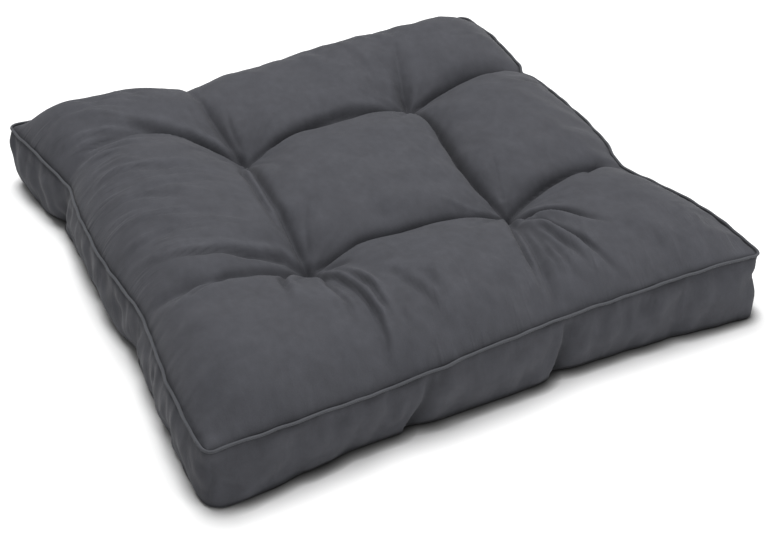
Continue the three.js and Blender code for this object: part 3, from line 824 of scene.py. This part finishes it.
def side_rings(steps, levels, detailed=True, lift=None):
    """The rings from the groove round the piping down to the floor, and their painted shading."""
    seam = seam_ring(steps)
    along = seam_lengths(seam)
    outward = outward_of(seam)
    plain_foot = foot_ring(steps)
    # The groove round the piping gets the painted shade under the piping in full
    rings = [(seam - outward * inward + UP * high, 1 - SEAM_SHADE) for inward, high in GROOVE]
    start = seam - outward * BOXING_TOP[0] + UP * BOXING_TOP[1]
    for k, level in enumerate(boxing_levels(levels)):
        below = level * BOXING_DROP
        fold = boxing_fold(seam, outward, level)
        out = boxing_bulge(seam, level) - fold * min(1, BOXING_FOLD_ONSET * level)
        if detailed:
            pucker = ripple(along, PUCKER_LENGTHS, "boxing_puckers")
            gather = pucker * math.exp(-below / PUCKER_REACH)
            out += PUCKER_DEPTH * gather + boxing_detail(along, level)
        if lift is not None:
            out += lift[k]
        # Painted shade: the colour is darkened just under the piping, at the foot and in the folds
        at_seam = SEAM_SHADE * math.exp(-below / SEAM_SHADE_REACH)
        at_foot = FOOT_SHADE * math.exp((below - BOXING_DROP) / SEAM_SHADE_REACH)
        in_fold = FOLD_SHADE * np.clip(fold / BOXING_FOLD_FULL, 0, 1) ** 2
        ring = start + (plain_foot - start) * level + outward * out[:, None]
        rings.append((ring, (1 - at_seam - at_foot) * (1 - in_fold)))
    foot_outward = outward_of(plain_foot)
    inward = boxing_fold(plain_foot, foot_outward, 1) - boxing_detail(along, 1) * detailed
    foot = plain_foot - foot_outward * inward[:, None]
    for k in range(FOOT_ROLL_RINGS):
        turn = k / (FOOT_ROLL_RINGS - 1) * math.pi / 2
        ring = foot - foot_outward * FOOT_ROLL * (1 - math.cos(turn))
        ring[:, 2] = FOOT_HEIGHT * (1 - math.sin(turn))
        # Painted shade on the roll under the foot, darkest at its outer edge and none where it meets the
        # floor
        rings.append((ring, 1 - FOOT_SHADE * math.cos(turn)))
    return rings


def add_sides(body, rim, steps, levels, detailed=True, lift=None):
    upper = rim
    for ring, painted_shading in side_rings(steps, levels, detailed, lift):
        lower = body.add(ring, ring + CLOTH_APART * UP, painted_shading * np.ones(len(ring)))
        body.faces += ring_faces(upper, lower)
        upper = lower
    return upper


def under_height(x, y):
    """The bottom panel is drawn up at each tuft and lies flat elsewhere."""
    height = np.zeros(x.shape)
    for tx, ty, _ in TUFTS.values():
        away = np.maximum(np.hypot(x - tx, y - ty) - UNDER_SPOT, 0)
        height += UNDER_DEPTH * np.clip(1 - away / (UNDER_RADIUS - UNDER_SPOT), 0, 1) ** UNDER_POWER
    drawn = np.clip(height / UNDER_STROKE_FULL, 0, 1)
    strokes = stroke_height(tuft_strokes("under_strokes"), x, y)
    return height + UNDER_STROKE_SHARE * drawn * strokes


def add_underside(body, rim, steps):
    margin = UNDER_MARGIN / SIDE
    lines = [margin + (1 - 2 * margin) * grid_lines(axis, steps) for axis in ("x", "y")]
    s, t = np.meshgrid(*lines)
    rs, rt = round_corners(s, t, foot_radius(s, t, UNDER_ROUNDING))
    x, y = plan(rs, rt, "foot")
    points = (x, y, np.maximum(under_height(x, y), 0))
    cloth = (x + CLOTH_APART, y + CLOTH_APART, 0 * x)
    # Painted shade round each tuft on the underside
    index, inner = add_grid(body, points, cloth, 1 - TUFT_SHADE * tuft_nearness(x, y))
    body.faces += [face[::-1] for face in grid_faces(index)]
    body.faces += halving_faces(rim, inner)


def cloth_body():
    """A coarse cushion for the cloth solver, with the weights that hold it at its seams and tufts."""
    body = Body()
    rim = add_top(body, CLOTH_STEPS, False)
    top_count = body.count
    foot = add_sides(body, rim, CLOTH_STEPS, CLOTH_LEVELS, False)
    add_underside(body, foot, CLOTH_STEPS // 2)
    held = np.ones(body.count)
    x, y, _ = body.parts[0][0].T
    hold = CLOTH_VALLEY_HOLD * puff_share(x, y)[2] + CLOTH_TUFT_HOLD * tuft_nearness(x, y)
    held[:top_count] = np.clip(hold, 0, 1)
    held[rim] = 1
    free = top_count + 4 * CLOTH_STEPS * (len(GROOVE) + 1)
    held[free:free + 4 * CLOTH_STEPS * (CLOTH_LEVELS - 1)] = 0
    return body.made("cloth_pass"), held, top_count


def settle(piece, held):
    """Blows the coarse cushion up with the cloth solver; gives each point's move in millimetres."""
    group = piece.vertex_groups.new(name="held")
    for k, weight in enumerate(held):
        group.add([k], float(weight), "REPLACE")
    cloth = piece.modifiers.new("cloth", "CLOTH")
    cloth.settings.vertex_group_mass = group.name
    cloth.settings.use_pressure = True
    cloth.settings.uniform_pressure_force = CLOTH_PRESSURE
    cloth.settings.shrink_min = CLOTH_SHRINK
    cloth.settings.effector_weights.gravity = 0
    cloth.point_cache.frame_start = 1
    cloth.point_cache.frame_end = CLOTH_FRAMES
    for step in range(1, CLOTH_FRAMES + 1):
        bpy.context.scene.frame_set(step)
    solved = piece.evaluated_get(bpy.context.evaluated_depsgraph_get()).data
    before, after = [np.array([point.co[:] for point in mesh.vertices]) for mesh in (piece.data, solved)]
    return (after - before) / MM


def smoothed(grid, passes, loop):
    """A grid blurred along both its axes; the second one may close on itself."""
    for _ in range(passes):
        for axis in (0, 1):
            at = np.arange(grid.shape[axis])
            mode = "wrap" if loop and axis == 1 else "clip"
            low, mid, high = [np.take(grid, at + step, axis, mode=mode) for step in (-1, 0, 1)]
            grid = (low + 2 * mid + high) / 4
    return grid


def resampled(grid, places, axis, loop=False):
    """A grid read at places between its rows along one axis, on smooth curves."""
    rows = np.moveaxis(grid, axis, 0)
    base = np.floor(places).astype(int)
    f = (places - base)[:, None]
    mode = "wrap" if loop else "clip"
    a, b, c, d = [np.take(rows, base + step, 0, mode=mode) for step in (-1, 0, 1, 2)]
    value = b + 0.5 * f * (c - a + f * (2 * a - 5 * b + 4 * c - d + f * (3 * (b - c) + d - a)))
    return np.moveaxis(value, 0, axis)


def wrinkles_of(grid, loop=False):
    """The wrinkles alone: what a blur of the movement leaves over, kept within a limit."""
    sharp = smoothed(grid, 1, loop) - smoothed(grid, CLOTH_BLUR, loop)
    return CLOTH_LIMIT * np.tanh(sharp * CLOTH_GAIN / CLOTH_LIMIT)


def cloth_wrinkles():
    """What the cloth solver adds to the top panel's grid and to the rings of the boxing."""
    piece, held, top_count = cloth_body()
    move = settle(piece, held)
    wide = CLOTH_STEPS + 1
    top = wrinkles_of(move[:top_count, 2].reshape(wide, wide))
    outward = outward_of(seam_ring(CLOTH_STEPS))
    first = top_count + 4 * CLOTH_STEPS * len(GROOVE)
    rings = move[first:first + 4 * CLOTH_STEPS * CLOTH_LEVELS].reshape(CLOTH_LEVELS, -1, 3)
    boxing = wrinkles_of((rings * outward).sum(axis=2), loop=True)
    bpy.data.objects.remove(piece)
    bpy.context.scene.frame_set(1)
    places = np.arange(TOP_STEPS + 1) / TOP_STEPS * CLOTH_STEPS
    fine_top = resampled(resampled(top, places, 0), places, 1)
    down = np.arange(BOXING_LEVELS) / BOXING_LEVELS * CLOTH_LEVELS
    along = np.arange(4 * TOP_STEPS) / TOP_STEPS * CLOTH_STEPS
    return fine_top, resampled(resampled(boxing, down, 0), along, 1, loop=True)


def make_cushion():
    """The cushion as one closed body, with the cloth solver's wrinkles on its top panel and boxing."""
    top_lift, boxing_lift = cloth_wrinkles()
    body = Body()
    rim = add_top(body, TOP_STEPS, lift=top_lift)
    foot = add_sides(body, rim, TOP_STEPS, BOXING_LEVELS, lift=boxing_lift)
    add_underside(body, foot, TOP_STEPS // 2)
    return body.made("filled_cushion")


def add_cord(body, line, along, beside, upward, radius, sides, thick=1.0):
    """Adds the points of a round cord, in rows along it; gives each row and the next one round."""
    rows = []
    for k in range(sides):
        turn = 2 * math.pi * k / sides
        out = beside * math.cos(turn) + upward * math.sin(turn)
        cloth = np.stack([along, np.full(len(along), turn * radius), 0 * along], 1)
        rows.append(body.add(line + radius * thick * out, cloth, np.ones(len(along))))
    return list(zip(rows, rows[1:] + rows[:1]))


def make_piping():
    """The cord wanders a little and is not quite evenly thick."""
    body = Body()
    seam = seam_ring(TOP_STEPS)
    along = seam_lengths(seam)
    thick = 1 + PIPING_UNEVEN * ripple(along, PIPING_LENGTHS, "piping_thickness")[:, None]
    rows = add_cord(body, seam, along, outward_of(seam), UP, PIPING_RADIUS, PIPING_SIDES, thick)
    for one, other in rows:
        body.faces += ring_faces(other, one)
    return body.made("piping_cord")


def top_height_at(x, y):
    """The height of the top panel over a place, read from a fine patch of the surface round it."""
    share_x, share_y = x / SIDE + 0.5, y / SIDE + 0.5
    around = np.linspace(-PATCH_REACH, PATCH_REACH, PATCH_STEPS)
    px, py, pz, _ = top_surface(*np.meshgrid(share_x + around, share_y + around))
    return float(pz.flat[np.hypot(px - x, py - y).argmin()])


def make_thread(name, x, y, z, turn, above):
    """A short bar of two twisted threads that lies across a tuft, its ends sunk in the cloth.

    It lies on the cloth where above is 1 and hangs under it, turned over, where above is -1.
    """
    body = Body()
    ways = np.linspace(-1, 1, THREAD_STEPS)
    run = ways * THREAD_LENGTH / 2
    ahead = np.array([math.cos(turn), math.sin(turn), 0])
    beside = np.array([-math.sin(turn), math.cos(turn), 0])
    for strand in range(2):
        spin = math.pi * (THREAD_TWISTS * ways + strand)
        lift = STRAND_RADIUS + STRAND_OFFSET * np.sin(spin) - THREAD_SAG * ways**4
        middle = np.array([x, y, z]) + np.outer(run, ahead) + np.outer(above * lift, UP)
        line = middle + np.outer(STRAND_OFFSET * np.cos(spin), beside)
        rows = add_cord(body, line, run, beside, above * UP, STRAND_RADIUS, THREAD_SIDES)
        for one, other in rows:
            quads = np.stack([one[:-1], one[1:], other[1:], other[:-1]], 1)
            body.faces += quads[:, ::-above].tolist()
        ends = [[one[0] for one, _ in rows], [one[-1] for one, _ in rows[::-1]]]
        body.faces += [end[::-above] for end in ends]
    return body.made(name)


# Materials


def material(name):
    made = bpy.data.materials.new(name)
    made.use_nodes = True
    tree = made.node_tree
    return made, tree, tree.nodes["Principled BSDF"]


def add_node(tree, kind, inputs=None, **settings):
    """The outputs of a new node. An input given a socket is linked to it.

    Sockets go by number where several share a name or none is needed.
    """
    made = tree.nodes.new(f"ShaderNode{kind}")
    for name, value in settings.items():
        setattr(made, name, value)
    for name, value in (inputs or {}).items():
        if isinstance(value, bpy.types.NodeSocket):
            tree.links.new(value, made.inputs[name])
        else:
            made.inputs[name].default_value = value
    return made.outputs


def maths(tree, operation, *values):
    return add_node(tree, "Math", dict(enumerate(values)), operation=operation)[0]


def scaled(tree, vector, scale):
    return add_node(tree, "VectorMath", {0: vector, "Scale": scale}, operation="SCALE")[0]


def noise(tree, place, scale, detail, stretch=(1, 1, 1)):
    moved = add_node(tree, "VectorMath", {0: place, 1: stretch}, operation="MULTIPLY")[0]
    return add_node(tree, "TexNoise", {"Vector": moved, "Scale": scale, "Detail": detail})[0]


def ranged(tree, value, span, onto=(0, 1), **settings):
    """Maps a span of a value onto another one, within its ends."""
    ends = dict(zip(("From Min", "From Max", "To Min", "To Max"), (*span, *onto)))
    return add_node(tree, "MapRange", {"Value": value, **ends}, **settings)[0]


def around_one(tree, value, strength):
    """Turns a texture between 0 and 1 into a factor that swings round 1."""
    return maths(tree, "MULTIPLY_ADD", value, 2 * strength, 1 - strength)


def times(tree, one, other):
    return maths(tree, "MULTIPLY", one, other)


def bump(tree, height, distance, strength, under=None):
    inputs = {"Height": height, "Distance": distance, "Strength": strength}
    if under is not None:
        inputs["Normal"] = under
    return add_node(tree, "Bump", inputs)[0]


def bands(tree, place, direction, scale):
    inputs = {"Vector": place, "Scale": scale}
    return add_node(tree, "TexWave", inputs, bands_direction=direction)[1]


def gathers(tree, place, group):
    """Fine creases along one way, in patches, which fade in along the axes that their group names."""
    angle = {"Vector": place, "Angle": -math.radians(group["way"])}
    turned = add_node(tree, "VectorRotate", angle, rotation_type="Z_AXIS")[0]
    lines = noise(tree, turned, group["scale"], GATHER_DETAIL, group["stretch"])
    lines = ranged(tree, lines, GATHER_SPAN)
    patches = ranged(tree, noise(tree, place, *GATHER_PATCHES), PATCH_SPAN)
    drawn = times(tree, times(tree, lines, patches), group["strength"])
    for axis, *span in group["fades"]:
        at = add_node(tree, "SeparateXYZ", {0: place})[axis]
        drawn = times(tree, drawn, ranged(tree, at, span, interpolation_type="SMOOTHSTEP"))
    return drawn


def cloth_material(name, tints, look, thread_bands):
    """Brushed cloth: two tints that drift into each other, mottled nap, fibres and a fine weave."""
    made, tree, shader = material(name)
    place = add_node(tree, "Attribute", attribute_name="cloth")[1]
    painted_shading = add_node(tree, "Attribute", attribute_name="painted_shading")[2]
    drift = noise(tree, place, *DRIFT)
    nap = noise(tree, place, *NAP, look.get("nap_stretch", (1, 1, 1)))
    fibre = noise(tree, place, *FIBRE)
    textures = {"mottle": noise(tree, place, *MOTTLE), "nap": nap, "fibre": fibre}
    # The colour's lightness starts from the painted shading that the mesh carries
    light = painted_shading
    normal = bump(tree, nap, NAP_DEPTH, look["nap_bump"])
    if "gathers" in look:
        drawn = 0
        for group in look["gathers"]:
            drawn = maths(tree, "ADD", drawn, gathers(tree, place, group))
        # Painted highlight: the colour is made lighter along the gathers
        light = times(tree, painted_shading, maths(tree, "MULTIPLY_ADD", drawn, GATHER_LIGHT, 1))
        normal = bump(tree, drawn, *GATHER_BUMP, normal)
    for texture, value in textures.items():
        light = times(tree, light, around_one(tree, value, look[texture]))
    inputs = {"Factor": drift, 6: (*tints[0], 1), 7: (*tints[1], 1)}
    tint = add_node(tree, "Mix", inputs, data_type="RGBA")[2]
    tree.links.new(scaled(tree, tint, light), shader.inputs["Base Color"])
    roughness = times(tree, around_one(tree, nap, ROUGHNESS_SWING), ROUGHNESS)
    tree.links.new(roughness, shader.inputs["Roughness"])
    shader.inputs["Specular IOR Level"].default_value = SPECULAR_LEVEL
    shader.inputs["Sheen Weight"].default_value = look["sheen"]
    shader.inputs["Sheen Roughness"].default_value = SHEEN_ROUGHNESS
    height = 1
    for direction, scale in thread_bands:
        height = times(tree, height, bands(tree, place, direction, scale))
    normal = bump(tree, fibre, *FIBRE_BUMP, normal)
    normal = bump(tree, height, look["band_depth"], BAND_STRENGTH, normal)
    tree.links.new(normal, shader.inputs["Normal"])
    return made


# Camera, floor and light


def aim(made, way):
    made.rotation_mode = "QUATERNION"
    made.rotation_quaternion = way.to_track_quat("-Z", "Y")


def make_camera():
    target = Vector(CAMERA_TARGET) * SIDE
    back = Vector((
        math.sin(CAMERA_AZIMUTH) * math.cos(CAMERA_ELEVATION),
        -math.cos(CAMERA_AZIMUTH) * math.cos(CAMERA_ELEVATION),
        math.sin(CAMERA_ELEVATION),
    ))
    data = bpy.data.cameras.new("camera")
    data.lens = CAMERA_LENS
    data.clip_start = CAMERA_CLIP
    camera = linked("camera", data)
    camera.location = (target + back * CAMERA_DISTANCE * SIDE + SHIFT) * MM
    aim(camera, -back)
    bpy.context.scene.camera = camera


def make_floor():
    mesh = bpy.data.meshes.new("floor")
    corners = [(-1, -1), (1, -1), (1, 1), (-1, 1)]
    mesh.from_pydata([(FLOOR_REACH * x, FLOOR_REACH * y, 0) for x, y in corners], [], [(0, 1, 2, 3)])
    floor = linked("floor", mesh)
    floor.location.z = -FLOOR_DROP
    made, tree, shader = material("pale_floor")
    reach = {"Distance": GLOOM_REACH}
    # Painted contact shadow: ambient occlusion darkens the floor's colour near the cushion, less at the
    # far left
    open_share = add_node(tree, "AmbientOcclusion", reach, samples=GLOOM_SAMPLES)[1]
    place = add_node(tree, "NewGeometry")[0]
    across = add_node(tree, "SeparateXYZ", {0: place})[0]
    power = ranged(tree, across, GLOOM_SPAN, GLOOM_POWERS)
    pale = scaled(tree, FLOOR_COLOUR, maths(tree, "POWER", open_share, power))
    tree.links.new(pale, shader.inputs["Base Color"])
    shader.inputs["Roughness"].default_value = 1
    shader.inputs["Specular IOR Level"].default_value = 0
    mesh.materials.append(made)


def make_light(name, place, size, power):
    data = bpy.data.lights.new(name, "AREA")
    data.shape = "DISK"
    data.size = size
    data.energy = power
    light = linked(name, data)
    light.location = place
    aim(light, -Vector(place))


def make_world():
    world = bpy.data.worlds.new("studio")
    world.use_nodes = True
    background = world.node_tree.nodes["Background"]
    background.inputs["Color"].default_value = (1, 1, 1, 1)
    background.inputs["Strength"].default_value = WORLD_STRENGTH
    bpy.context.scene.world = world


bpy.context.scene.view_settings.view_transform = "Standard"
make_camera()
make_floor()
make_world()
for lamp, settings in LIGHTS.items():
    make_light(lamp, *settings)

COVER = cloth_material(
    "cover_cloth",
    [(0.0475, 0.049, 0.057), (0.0525, 0.053, 0.060)],
    {"nap_stretch": (1.4, 1, 1), "mottle": 0.20, "nap": 0.20, "fibre": 0.12,
     "sheen": 0.06, "nap_bump": 0.35, "band_depth": 0.0001,
     "gathers": [
         {"way": -17, "stretch": (0.10, 1, 1), "scale": 90, "strength": 1.1,
          "fades": [(0, -0.13, -0.25), (1, -0.14, -0.05), (2, 0.4, 0.2)]},
         {"way": 82, "stretch": (0.14, 1, 1), "scale": 100, "strength": 0.9,
          "fades": [(1, -0.17, -0.26), (0, -0.11, -0.06), (2, 0.4, 0.2)]},
         {"way": 0, "stretch": (1, 1, 0.14), "scale": 60, "strength": 0.5,
          "fades": [(2, 0.8, 0.9)]},
     ]},
    [("X", 390), ("Y", 390)],
)
# The piping's tints are lighter than the cover's: partly wear, partly a painted highlight on the round
# cord
PIPING = cloth_material(
    "piping_cloth",
    [(0.060, 0.062, 0.070), (0.066, 0.068, 0.075)],
    {"mottle": 0.12, "nap": 0.10, "fibre": 0.10,
     "sheen": 0.10, "nap_bump": 0.15, "band_depth": 0.00025},
    [("DIAGONAL", 300)],
)
THREAD = cloth_material(
    "tuft_thread",
    [(0.10, 0.103, 0.115), (0.12, 0.123, 0.135)],
    {"mottle": 0.1, "nap": 0.1, "fibre": 0.2,
     "sheen": 0.15, "nap_bump": 0.1, "band_depth": 0.0001},
    [("DIAGONAL", 900)],
)

cushion = make_cushion()
cushion.data.materials.append(COVER)
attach(cushion, BODY)
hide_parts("cushion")

piping = make_piping()
piping.data.materials.append(PIPING)
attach(piping, BODY)
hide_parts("piping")

for tuft, (tuft_x, tuft_y, tuft_turn) in TUFTS.items():
    under = under_height(np.array(tuft_x), np.array(tuft_y))
    heights = {"top": top_height_at(tuft_x, tuft_y), "under": float(under)}
    for face, height in heights.items():
        above = 1 if face == "top" else -1
        thread = make_thread(f"tuft_thread_{tuft}_{face}", tuft_x, tuft_y, height, tuft_turn, above)
        thread.data.materials.append(THREAD)
        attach(thread, BODY)
        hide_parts(f"tuft_stitch_{tuft}_{face}")
